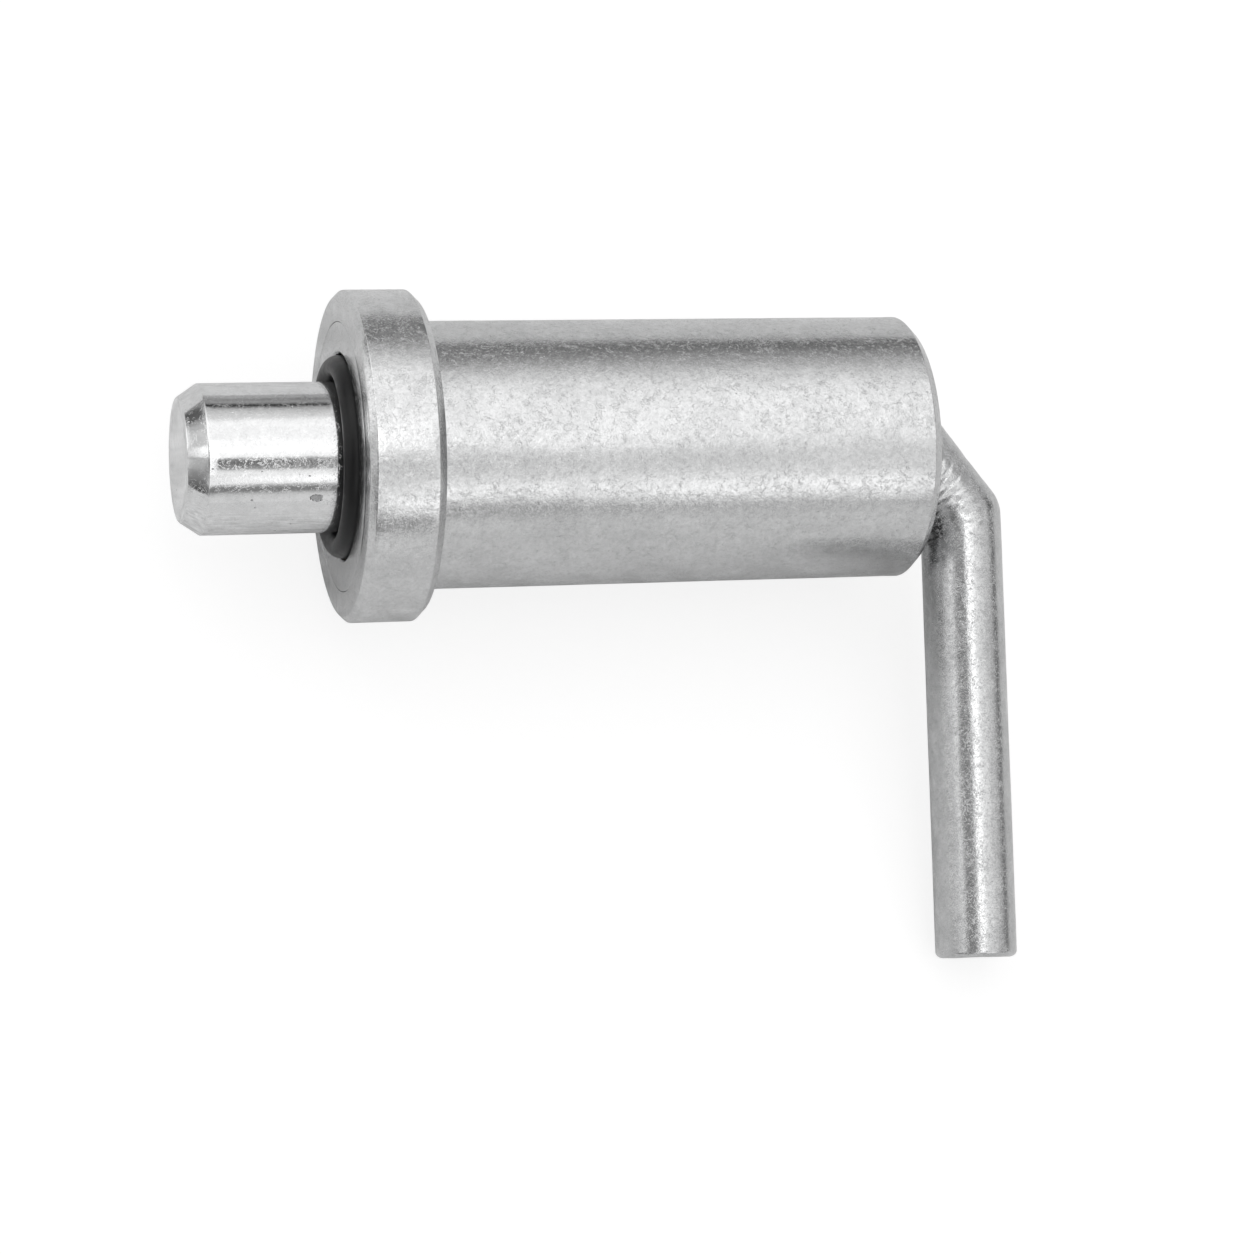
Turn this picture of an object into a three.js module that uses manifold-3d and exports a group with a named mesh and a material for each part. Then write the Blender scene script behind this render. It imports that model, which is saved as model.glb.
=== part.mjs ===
// Spring-loaded hitch pin lock: a round barrel with a pressed-on collar, a
// plunger pin that springs out of its front end, and an L-shaped handle rod
// that pulls the plunger back.
//
// Millimetres, +Z up. The X axis is the barrel's axis, with the plunger's tip
// towards -X and the handle at the +X end. The origin is on that axis, in the
// plane of the collar's rear face, the face that seats against a plate. The
// lock lies on its side: the collar's rim and the handle's end both reach down
// to Z = -COLLAR_R.

import * as THREE from 'three';
import { mergeVertices } from 'three/addons/utils/BufferGeometryUtils.js';
import Module from 'manifold-3d';

// ---------------------------------------------------------------- dimensions
const SEG = 48;               // facets round every turned piece

const BARREL_R = 16;          // 32 mm tube
const BORE_R = 12;            // 4 mm wall
const BARREL_FRONT = -9;
const BARREL_REAR = 61.5;
const REAR_CHAMFER = 1.1;
const MOUTH_R = 12.25;        // seat of the wiper seal
const MOUTH_DEPTH = 1.8;

const COLLAR_R = 19.75;
const COLLAR_BORE_R = 16.05;
const COLLAR_FRONT = -9;
const COLLAR_FRONT_CHAMFER = 0.75;
const COLLAR_REAR_CHAMFER = 1.0;

const SEAL_MID_R = 10.55;
const SEAL_WIRE_R = 1.5;
const SEAL_X = -8.95;

const BUSH_R = 11.95;         // both guide bushes, pressed into the bore
const FRONT_BUSH = [-7.1, 6.0];
const FRONT_BUSH_BORE_R = 9.05;
const REAR_BUSH = [49.6, 57.6];
const REAR_BUSH_BORE_R = 5.15;

const PLUNGER_R = 8.95;       // 18 mm bar, running fit
const TIP_X = -28.2;
const TIP_FACE_R = 7.35;
const TIP_CHAMFER = 2.4;
const HEAD_R = 11.6;
const HEAD = [6.1, 13.0];
const SOCKET_R = 5.1;         // blind hole for the handle rod
const SOCKET_END = -8.0;

const ROD_R = 5;              // 10 mm rod
const ROD_FRONT = -7.7;
const BEND_1 = [62.55, 0];    // corners of the rod's centreline, [x, drop]
const BEND_2 = [68.86, 8.6];
const BEND_RADIUS = 5.7;
const HANDLE_X = 69.1;        // where the handle's axis meets the barrel's
const HANDLE_LENGTH = 63.5;   // from the barrel's axis to the handle's end
const HANDLE_LEAN = 1.62;     // degrees past square, towards the collar
const HANDLE_TURN = 13.56;    // degrees below level, so that its end is down

const CROSS_PIN_R = 1.45;
const CROSS_PIN_HOLE_R = 1.6;
const CROSS_PIN_HALF = 11.2;
const CROSS_PIN_X = 9.5;

const WASHER = [13.1, 14.6];
const WASHER_R = 11.5;
const WASHER_BORE_R = 5.25;

const SPRING = [14.65, 49.55];
const SPRING_MID_R = 10.3;
const SPRING_WIRE_R = 0.9;
const SPRING_TURNS = 7.5;
const SPRING_END_PITCH = 2.05;

const RING = [57.7, 58.9];    // internal retaining ring, 1.2 mm thick
const RING_GROOVE = [57.65, 58.95];
const RING_GROOVE_R = 12.62;
const RING_R = 12.5;
const RING_INNER_R = 11.0;
const RING_LUG_R = 8.9;
const RING_GAP = 17;          // degrees from the top to each lug's edge
const RING_LUG = 17;          // degrees that each lug spans
const RING_EYE_R = 1.0;

// ------------------------------------------------------------------- helpers
const wasm = await Module();
wasm.setup();

const rad = THREE.MathUtils.degToRad;

// Position-only, indexed, wound outwards.
function clean(geometry) {
  let g = geometry;
  g.deleteAttribute('normal');
  g.deleteAttribute('uv');
  g = mergeVertices(g, 1e-4);
  const p = g.attributes.position;
  const src = g.index.array;
  const idx = [];
  let volume = 0;
  const a = new THREE.Vector3(), b = new THREE.Vector3(), c = new THREE.Vector3();
  for (let i = 0; i < src.length; i += 3) {
    const [i0, i1, i2] = [src[i], src[i + 1], src[i + 2]];
    if (i0 === i1 || i1 === i2 || i2 === i0) continue;
    a.fromBufferAttribute(p, i0);
    b.fromBufferAttribute(p, i1);
    c.fromBufferAttribute(p, i2);
    volume += a.dot(b.cross(c)) / 6;
    idx.push(i0, i1, i2);
  }
  if (volume < 0) for (let i = 0; i < idx.length; i += 3) [idx[i], idx[i + 1]] = [idx[i + 1], idx[i]];
  g.setIndex(idx);
  return g;
}

function toManifold(geometry) {
  const g = clean(geometry);
  return new wasm.Manifold(new wasm.Mesh({
    numProp: 3,
    vertProperties: new Float32Array(g.attributes.position.array),
    triVerts: new Uint32Array(g.index.array),
  }));
}

function fromManifold(solid) {
  const mesh = solid.getMesh();
  const g = new THREE.BufferGeometry();
  const n = mesh.numProp;
  const count = mesh.vertProperties.length / n;
  const pos = new Float32Array(count * 3);
  for (let i = 0; i < count; i++) for (let k = 0; k < 3; k++) pos[3 * i + k] = mesh.vertProperties[n * i + k];
  g.setAttribute('position', new THREE.BufferAttribute(pos, 3));
  g.setIndex(Array.from(mesh.triVerts));
  return g;
}

// A turned piece: [radius, x] points spun about the X axis.
function turned(points, segments = SEG) {
  const g = new THREE.LatheGeometry(points.map(([r, x]) => new THREE.Vector2(r, x)), segments);
  g.rotateZ(-Math.PI / 2);
  return clean(g);
}

const closed = (points) => [...points, points[0]];

// Round bar with its axis in any direction.
function bar(radius, length, segments = 12) {
  return new THREE.CylinderGeometry(radius, radius, length, segments);
}

// A path given by its own stations, so that an extrusion has its sections
// exactly there instead of at even steps.
class StationPath extends THREE.Curve {
  constructor(points, tangents) {
    super();
    this.points = points;
    this.tangents = tangents;
  }
  at(list, t) {
    const f = t * (list.length - 1);
    const i = Math.min(Math.floor(f + 1e-9), list.length - 1);
    const j = Math.min(i + 1, list.length - 1);
    return new THREE.Vector3().lerpVectors(list[i], list[j], Math.max(0, f - i));
  }
  getPoint(t) { return this.at(this.points, t); }
  getPointAt(t) { return this.at(this.points, t); }
  getTangent(t) { return this.at(this.tangents, t).normalize(); }
  getTangentAt(t) { return this.getTangent(t); }
}

function disc(radius, segments) {
  const s = new THREE.Shape();
  for (let i = 0; i < segments; i++) {
    const a = (2 * Math.PI * i) / segments;
    if (i === 0) s.moveTo(radius, 0);
    else s.lineTo(radius * Math.cos(a), radius * Math.sin(a));
  }
  s.closePath();
  return s;
}

function sweep(points, tangents, radius, sides) {
  return clean(new THREE.ExtrudeGeometry(disc(radius, sides), {
    steps: points.length - 1,
    bevelEnabled: false,
    extrudePath: new StationPath(points, tangents),
  }));
}

// ----------------------------------------------------------------- materials
const zinc = () => new THREE.MeshStandardMaterial({ color: 0xc4c6c8, roughness: 0.38, metalness: 1 });
const turnedZinc = () => new THREE.MeshStandardMaterial({ color: 0xd2d4d6, roughness: 0.2, metalness: 1 });
const steel = () => new THREE.MeshStandardMaterial({ color: 0x8f9296, roughness: 0.35, metalness: 1 });
const springSteel = () => new THREE.MeshStandardMaterial({ color: 0x6e7175, roughness: 0.4, metalness: 1 });
const blackened = () => new THREE.MeshStandardMaterial({ color: 0x34363a, roughness: 0.5, metalness: 1 });
const bronze = () => new THREE.MeshStandardMaterial({ color: 0xb08a4e, roughness: 0.45, metalness: 1 });
const rubber = () => new THREE.MeshStandardMaterial({ color: 0x161616, roughness: 0.55, metalness: 0 });

const lock = new THREE.Group();

function add(name, geometry, material, parent = lock) {
  const mesh = new THREE.Mesh(geometry, material);
  mesh.name = name;
  parent.add(mesh);
  return mesh;
}

// ------------------------------------------------------------------- housing
add('barrel_tube', turned(closed([
  [BARREL_R, BARREL_FRONT],
  [BARREL_R, BARREL_REAR - REAR_CHAMFER],
  [BARREL_R - REAR_CHAMFER, BARREL_REAR],
  [BORE_R + 0.3, BARREL_REAR],
  [BORE_R, BARREL_REAR - 0.3],
  [BORE_R, RING_GROOVE[1]],
  [RING_GROOVE_R, RING_GROOVE[1]],
  [RING_GROOVE_R, RING_GROOVE[0]],
  [BORE_R, RING_GROOVE[0]],
  [BORE_R, BARREL_FRONT + MOUTH_DEPTH],
  [MOUTH_R, BARREL_FRONT + MOUTH_DEPTH],
  [MOUTH_R, BARREL_FRONT + 0.3],
  [MOUTH_R + 0.3, BARREL_FRONT],
])), zinc());

add('collar_ring', turned(closed([
  [COLLAR_BORE_R, COLLAR_FRONT],
  [COLLAR_R - COLLAR_FRONT_CHAMFER, COLLAR_FRONT],
  [COLLAR_R, COLLAR_FRONT + COLLAR_FRONT_CHAMFER],
  [COLLAR_R, -COLLAR_REAR_CHAMFER],
  [COLLAR_R - COLLAR_REAR_CHAMFER, 0],
  [COLLAR_BORE_R, 0],
])), zinc());

add('front_guide_bush', turned(closed([
  [FRONT_BUSH_BORE_R, FRONT_BUSH[0]],
  [BUSH_R - 0.3, FRONT_BUSH[0]],
  [BUSH_R, FRONT_BUSH[0] + 0.3],
  [BUSH_R, FRONT_BUSH[1]],
  [FRONT_BUSH_BORE_R, FRONT_BUSH[1]],
])), bronze());

add('rear_guide_bush', turned(closed([
  [REAR_BUSH_BORE_R, REAR_BUSH[0]],
  [BUSH_R, REAR_BUSH[0]],
  [BUSH_R, REAR_BUSH[1] - 0.3],
  [BUSH_R - 0.3, REAR_BUSH[1]],
  [REAR_BUSH_BORE_R + 0.4, REAR_BUSH[1]],
  [REAR_BUSH_BORE_R, REAR_BUSH[1] - 0.4],
])), steel());

// Rubber ring in the tube's mouth, half of it standing proud.
const sealSection = [];
for (let i = 0; i < 8; i++) {
  const a = (2 * Math.PI * (i + 0.5)) / 8;
  const r = SEAL_WIRE_R / Math.cos(Math.PI / 8);
  sealSection.push([SEAL_MID_R + r * Math.cos(a), SEAL_X + r * Math.sin(a)]);
}
add('wiper_seal', turned(closed(sealSection)), rubber());

// Internal retaining ring: a C with an eyed lug at each end of its gap.
{
  const arc = (r, from, to, n) => {
    const out = [];
    for (let i = 0; i <= n; i++) {
      const a = rad(from + ((to - from) * i) / n);
      out.push([r * Math.sin(a), r * Math.cos(a)]);
    }
    return out;
  };
  const g = RING_GAP, l = RING_GAP + RING_LUG;
  const outline = [
    ...arc(RING_R, g, 360 - g, 44),
    ...arc(RING_LUG_R, 360 - g, 360 - l, 3),
    ...arc(RING_INNER_R, 360 - l, l, 40),
    ...arc(RING_LUG_R, l, g, 3),
  ];
  const shape = new THREE.Shape(outline.map(([u, v]) => new THREE.Vector2(u, v)));
  for (const side of [1, -1]) {
    const a = rad(side * (g + l) / 2), r = (RING_LUG_R + RING_R) / 2;
    const eye = [];
    for (let i = 0; i < 12; i++) {
      const b = (2 * Math.PI * i) / 12;
      eye.push(new THREE.Vector2(r * Math.sin(a) + RING_EYE_R * Math.cos(b), r * Math.cos(a) + RING_EYE_R * Math.sin(b)));
    }
    shape.holes.push(new THREE.Path(eye));
  }
  const ring = new THREE.ExtrudeGeometry(shape, { depth: RING[1] - RING[0], bevelEnabled: false, curveSegments: 12 });
  ring.rotateX(Math.PI / 2);      // the shape's second axis points up
  ring.rotateZ(Math.PI / 2);      // and its thickness runs along X
  ring.computeBoundingBox();
  ring.translate(RING[0] - ring.boundingBox.min.x, 0, 0);
  add('rear_retaining_ring', clean(ring), blackened());
}

// Compression spring with closed, ground ends.
{
  const steps = Math.round(SPRING_TURNS * 16);
  const x0 = SPRING[0] + 0.5 * SPRING_WIRE_R, x1 = SPRING[1] - 0.5 * SPRING_WIRE_R;
  const active = (x1 - x0 - 2 * SPRING_END_PITCH) / (SPRING_TURNS - 2);
  const travel = (turn) => {
    if (turn < 1) return turn * SPRING_END_PITCH;
    if (turn > SPRING_TURNS - 1) return (x1 - x0) - (SPRING_TURNS - turn) * SPRING_END_PITCH;
    return SPRING_END_PITCH + (turn - 1) * active;
  };
  const points = [], tangents = [];
  const where = (turn) => new THREE.Vector3(
    x0 + travel(turn),
    SPRING_MID_R * Math.cos(2 * Math.PI * turn),
    SPRING_MID_R * Math.sin(2 * Math.PI * turn));
  for (let i = 0; i <= steps; i++) {
    const turn = (SPRING_TURNS * i) / steps;
    points.push(where(turn));
    const d = 0.03;
    tangents.push(where(Math.min(turn + d, SPRING_TURNS)).sub(where(Math.max(turn - d, 0))).normalize());
  }
  const wire = toManifold(sweep(points, tangents, SPRING_WIRE_R, 6));
  const slab = new THREE.BoxGeometry(SPRING[1] - SPRING[0], 40, 40);
  slab.translate((SPRING[0] + SPRING[1]) / 2, 0, 0);
  add('compression_spring', fromManifold(wire.intersect(toManifold(slab))), springSteel());
}

// ---------------------------------------------------------- moving group
add('thrust_washer', turned(closed([
  [WASHER_BORE_R, WASHER[0]],
  [WASHER_R, WASHER[0]],
  [WASHER_R, WASHER[1]],
  [WASHER_BORE_R, WASHER[1]],
])), steel());

// The handle hangs in the turned group, so the cross hole does too.
const turn = new THREE.Group();
turn.rotation.x = rad(HANDLE_TURN);
lock.add(turn);

const crossHole = () => {
  const g = bar(CROSS_PIN_HOLE_R, 60, 12);
  g.rotateX(Math.PI / 2);
  g.translate(CROSS_PIN_X, 0, 0);
  return toManifold(g);
};

const plunger = toManifold(turned([
  [0, TIP_X],
  [TIP_FACE_R, TIP_X],
  [PLUNGER_R, TIP_X + TIP_CHAMFER],
  [PLUNGER_R, HEAD[0]],
  [HEAD_R - 0.3, HEAD[0]],
  [HEAD_R, HEAD[0] + 0.3],
  [HEAD_R, HEAD[1]],
  [SOCKET_R, HEAD[1]],
  [SOCKET_R, SOCKET_END],
  [0, SOCKET_END],
]));
add('plunger_pin', fromManifold(plunger.subtract(crossHole())), turnedZinc(), turn);

// Handle rod: straight along the axis, two close bends that make one flattened
// corner, then the handle. Drop is along -Y of the turned group.
{
  const lean = rad(HANDLE_LEAN);
  const end = [HANDLE_X - HANDLE_LENGTH * Math.sin(lean), HANDLE_LENGTH * Math.cos(lean)];
  const line = [[ROD_FRONT, 0], BEND_1, BEND_2, end].map(([x, d]) => new THREE.Vector3(x, -d, 0));
  const points = [line[0].clone()], tangents = [];
  tangents.push(line[1].clone().sub(line[0]).normalize());
  for (let k = 1; k < line.length - 1; k++) {
    const inDir = line[k].clone().sub(line[k - 1]).normalize();
    const outDir = line[k + 1].clone().sub(line[k]).normalize();
    const angle = inDir.angleTo(outDir);
    const cut = BEND_RADIUS * Math.tan(angle / 2);
    const start = line[k].clone().addScaledVector(inDir, -cut);
    const side = outDir.clone().addScaledVector(inDir, -outDir.dot(inDir)).normalize();
    const n = 4;
    for (let i = 0; i <= n; i++) {
      const a = (angle * i) / n;
      points.push(start.clone()
        .addScaledVector(inDir, BEND_RADIUS * Math.sin(a))
        .addScaledVector(side, BEND_RADIUS * (1 - Math.cos(a))));
      tangents.push(inDir.clone().multiplyScalar(Math.cos(a)).addScaledVector(side, Math.sin(a)));
    }
  }
  points.push(line[3].clone());
  tangents.push(line[3].clone().sub(line[2]).normalize());
  const rod = toManifold(sweep(points, tangents, ROD_R, 24));
  add('handle_rod', fromManifold(rod.subtract(crossHole())), zinc(), turn);
}

{
  const g = bar(CROSS_PIN_R, 2 * CROSS_PIN_HALF, 12);
  g.rotateX(Math.PI / 2);
  g.translate(CROSS_PIN_X, 0, 0);
  add('handle_cross_pin', clean(g), steel(), turn);
}

export default lock;
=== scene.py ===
# Looks for the hitch pin lock: every CAD node is replaced by a finely modelled
# piece in mesh code, in the CAD frame, in metres.
import bpy, bmesh, math, random
from mathutils import Vector, Matrix, noise


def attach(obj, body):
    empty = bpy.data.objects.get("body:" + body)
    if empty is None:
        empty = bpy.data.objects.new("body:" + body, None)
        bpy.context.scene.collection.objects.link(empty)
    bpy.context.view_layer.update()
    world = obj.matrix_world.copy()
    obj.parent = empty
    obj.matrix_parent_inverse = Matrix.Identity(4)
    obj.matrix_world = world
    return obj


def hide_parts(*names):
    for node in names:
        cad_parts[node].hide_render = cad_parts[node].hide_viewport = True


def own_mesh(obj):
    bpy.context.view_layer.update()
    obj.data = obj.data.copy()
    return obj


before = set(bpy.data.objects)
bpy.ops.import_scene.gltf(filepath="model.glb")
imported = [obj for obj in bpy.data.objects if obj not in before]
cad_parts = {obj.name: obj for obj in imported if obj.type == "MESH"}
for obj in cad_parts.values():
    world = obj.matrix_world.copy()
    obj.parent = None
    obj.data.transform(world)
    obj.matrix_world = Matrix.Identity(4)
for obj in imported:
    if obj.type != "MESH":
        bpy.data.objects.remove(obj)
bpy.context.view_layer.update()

MM = 0.001
scene = bpy.context.scene
col = scene.collection

# ------------------------------------------------------------------ dimensions
# Plain copies of the CAD model's driving dimensions, in millimetres.
TURN = math.radians(13.56)          # the handle's turn below level
LEAN = math.radians(1.62)
ROD_R = 5.0
HANDLE_X, HANDLE_L = 69.1, 63.5
BEND_1, BEND_2 = (62.55, 0.0), (68.86, 8.6)

# --------------------------------------------------------------------- camera
F_PX, PSI, RHO, TAU = 3569.69, math.radians(15.3138), math.radians(-1.83992), math.radians(5.0009)
U0, V0, Z0 = 413.216, 455.543, 425.736
a = Vector((math.cos(PSI) * math.cos(RHO), math.cos(PSI) * math.sin(RHO), math.sin(PSI)))
n1 = Vector((-math.sin(RHO), math.cos(RHO), 0))
n2 = a.cross(n1)
ALPHA = TURN + TAU
X1 = Vector((1, 0, 0))
N1 = Vector((0, -math.cos(ALPHA), -math.sin(ALPHA)))
N2 = Vector((0, math.sin(ALPHA), -math.cos(ALPHA)))
def to_row(c):                       # camera direction (right, down, forward) to the row frame
    k = Vector(c)
    return X1 * k.dot(a) + N1 * k.dot(n1) + N2 * k.dot(n2)
RIGHT, DOWN, FWD = to_row((1, 0, 0)), to_row((0, 1, 0)), to_row((0, 0, 1))
P0 = Vector(((U0 - 627) / F_PX * Z0, (V0 - 627) / F_PX * Z0, Z0))
cam_pos = -(RIGHT * P0.x + DOWN * P0.y + FWD * P0.z) * MM
cam = bpy.data.objects.new("camera", bpy.data.cameras.new("camera"))
col.objects.link(cam)
cam.data.sensor_width = 36.0
cam.data.lens = 36.0 * F_PX / 1254.0
cam.data.clip_start, cam.data.clip_end = 0.02, 20.0
rot = Matrix((RIGHT, -DOWN, -FWD)).transposed()
cam.matrix_world = Matrix.Translation(cam_pos) @ rot.to_4x4()
scene.camera = cam

# ------------------------------------------------------------- mesh utilities
def make(name, verts, faces, mat, smooth=True, sharp_deg=38):
    me = bpy.data.meshes.new(name)
    me.from_pydata([tuple(c * MM for c in v) for v in verts], [], faces)
    bm = bmesh.new()
    bm.from_mesh(me)
    bmesh.ops.remove_doubles(bm, verts=bm.verts, dist=1e-7)
    bmesh.ops.recalc_face_normals(bm, faces=bm.faces)
    lim = math.radians(sharp_deg)
    for f in bm.faces:
        f.smooth = smooth
    for e in bm.edges:
        e.smooth = not (len(e.link_faces) == 2 and e.calc_face_angle(0.0) > lim)
    bm.to_mesh(me)
    bm.free()
    me.materials.append(mat)
    ob = bpy.data.objects.new(name, me)
    col.objects.link(ob)
    return ob

def fillet(points, closed=False):
    """points: (r, x, radius). Rounds each corner with that radius."""
    out, n = [], len(points)
    for i, (r, x, q) in enumerate(points):
        p = Vector((r, x))
        if q <= 0 or (not closed and i in (0, n - 1)):
            out.append((r, x)); continue
        u = Vector(points[i - 1][:2]) - p
        v = Vector(points[(i + 1) % n][:2]) - p
        lu, lv = u.length, v.length
        u.normalize(); v.normalize()
        ang = u.angle(v)
        t = min(q / math.tan(ang / 2), 0.49 * lu, 0.49 * lv)
        rr = t * math.tan(ang / 2)
        c = p + (u + v).normalized() * (rr / math.sin(ang / 2))
        s, e = p + u * t - c, p + v * t - c
        sweep = math.pi - ang
        k = max(2, int(math.degrees(sweep) / 15) + 1)
        sg = 1 if s.x * e.y - s.y * e.x > 0 else -1
        for j in range(k + 1):
            w = sg * sweep * j / k
            out.append((c.x + s.x * math.cos(w) - s.y * math.sin(w), c.y + s.x * math.sin(w) + s.y * math.cos(w)))
    return out

def subdivide_profile(pts, step, closed=False):
    out = []
    m = len(pts) if closed else len(pts) - 1
    for i in range(m):
        p, q = pts[i], pts[(i + 1) % len(pts)]
        d = math.hypot(q[0] - p[0], q[1] - p[1])
        k = max(1, int(round(d / step)))
        for j in range(k):
            out.append((p[0] + (q[0] - p[0]) * j / k, p[1] + (q[1] - p[1]) * j / k))
    if not closed:
        out.append(pts[-1])
    return out

def turned(name, profile, mat, seg=192, closed=True, step=None, warp=None, sharp_deg=38):
    pts = fillet(profile, closed)
    if step:
        pts = subdivide_profile(pts, step, closed)
    verts, faces = [], []
    rings = []
    for r, x in pts:
        if r < 1e-6:
            verts.append((x, 0.0, 0.0)); rings.append([len(verts) - 1] * seg); continue
        ring = []
        for i in range(seg):
            t = 2 * math.pi * i / seg
            rr, xx = (r, x) if warp is None else warp(r, x, t)
            verts.append((xx, rr * math.cos(t), rr * math.sin(t)))
            ring.append(len(verts) - 1)
        rings.append(ring)
    m = len(rings) if closed else len(rings) - 1
    for k in range(m):
        A, B = rings[k], rings[(k + 1) % len(rings)]
        for i in range(seg):
            j = (i + 1) % seg
            f = [A[i], A[j], B[j], B[i]]
            g = []
            for v in f:
                if v not in g:
                    g.append(v)
            if len(g) > 2:
                faces.append(tuple(g))
    return make(name, verts, faces, mat, sharp_deg=sharp_deg)

# ------------------------------------------------------------------ materials
def new_mat(name):
    m = bpy.data.materials.new(name)
    m.use_nodes = True
    nt = m.node_tree
    for n in list(nt.nodes):
        nt.nodes.remove(n)
    out = nt.nodes.new("ShaderNodeOutputMaterial")
    b = nt.nodes.new("ShaderNodeBsdfPrincipled")
    nt.links.new(b.outputs[0], out.inputs[0])
    return m, nt, b

class N:
    """Small helper for node wiring. Coordinates are object coordinates in millimetres."""
    def __init__(self, nt):
        self.nt = nt
        tc = nt.nodes.new("ShaderNodeTexCoord")
        self.mm = self.vscale(tc.outputs["Object"], (1000, 1000, 1000))
    def link(self, a, b):
        self.nt.links.new(a, b)
    def vscale(self, v, s):
        n = self.nt.nodes.new("ShaderNodeVectorMath"); n.operation = "MULTIPLY"
        self.link(v, n.inputs[0]); n.inputs[1].default_value = s
        return n.outputs[0]
    def vadd(self, v, w):
        n = self.nt.nodes.new("ShaderNodeVectorMath"); n.operation = "ADD"
        self.link(v, n.inputs[0])
        if isinstance(w, tuple): n.inputs[1].default_value = w
        else: self.link(w, n.inputs[1])
        return n.outputs[0]
    def noise(self, v, scale, detail=4, rough=0.5, dist=0.0, lac=2.0):
        n = self.nt.nodes.new("ShaderNodeTexNoise")
        self.link(v, n.inputs["Vector"])
        n.inputs["Scale"].default_value = scale
        n.inputs["Detail"].default_value = detail
        n.inputs["Roughness"].default_value = rough
        n.inputs["Lacunarity"].default_value = lac
        n.inputs["Distortion"].default_value = dist
        return n.outputs["Fac"]
    def noise_color(self, v, scale, detail=2):
        n = self.nt.nodes.new("ShaderNodeTexNoise")
        self.link(v, n.inputs["Vector"])
        n.inputs["Scale"].default_value = scale
        n.inputs["Detail"].default_value = detail
        return n.outputs["Color"]
    def voronoi(self, v, scale, feature="F1", rand=1.0):
        n = self.nt.nodes.new("ShaderNodeTexVoronoi"); n.feature = feature
        self.link(v, n.inputs["Vector"]); n.inputs["Scale"].default_value = scale
        n.inputs["Randomness"].default_value = rand
        return n.outputs["Distance"]
    def math(self, op, x, y=None, clamp=False):
        n = self.nt.nodes.new("ShaderNodeMath"); n.operation = op; n.use_clamp = clamp
        for i, v in enumerate((x, y)):
            if v is None: continue
            if isinstance(v, (int, float)): n.inputs[i].default_value = v
            else: self.link(v, n.inputs[i])
        return n.outputs[0]
    def ramp(self, x, lo, hi, a, b, smooth=True):
        n = self.nt.nodes.new("ShaderNodeMapRange")
        n.interpolation_type = "SMOOTHSTEP" if smooth else "LINEAR"
        self.link(x, n.inputs["Value"])
        n.inputs["From Min"].default_value, n.inputs["From Max"].default_value = lo, hi
        n.inputs["To Min"].default_value, n.inputs["To Max"].default_value = a, b
        return n.outputs[0]
    def mix(self, f, ca, cb):
        n = self.nt.nodes.new("ShaderNodeMix"); n.data_type = "RGBA"
        if isinstance(f, (int, float)): n.inputs[0].default_value = f
        else: self.link(f, n.inputs[0])
        for k, c in ((6, ca), (7, cb)):
            if isinstance(c, tuple): n.inputs[k].default_value = (*c, 1)
            else: self.link(c, n.inputs[k])
        return n.outputs[2]
    def bump(self, h, dist_mm, strength=1.0, normal=None):
        n = self.nt.nodes.new("ShaderNodeBump")
        n.inputs["Distance"].default_value = dist_mm * MM
        n.inputs["Strength"].default_value = strength
        self.link(h, n.inputs["Height"])
        if normal is not None: self.link(normal, n.inputs["Normal"])
        return n.outputs[0]
    def xyz(self, v):
        n = self.nt.nodes.new("ShaderNodeSeparateXYZ"); self.link(v, n.inputs[0])
        return n.outputs
    def combine(self, x, y, z):
        n = self.nt.nodes.new("ShaderNodeCombineXYZ")
        for i, v in enumerate((x, y, z)):
            if isinstance(v, (int, float)): n.inputs[i].default_value = v
            else: self.link(v, n.inputs[i])
        return n.outputs[0]

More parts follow.
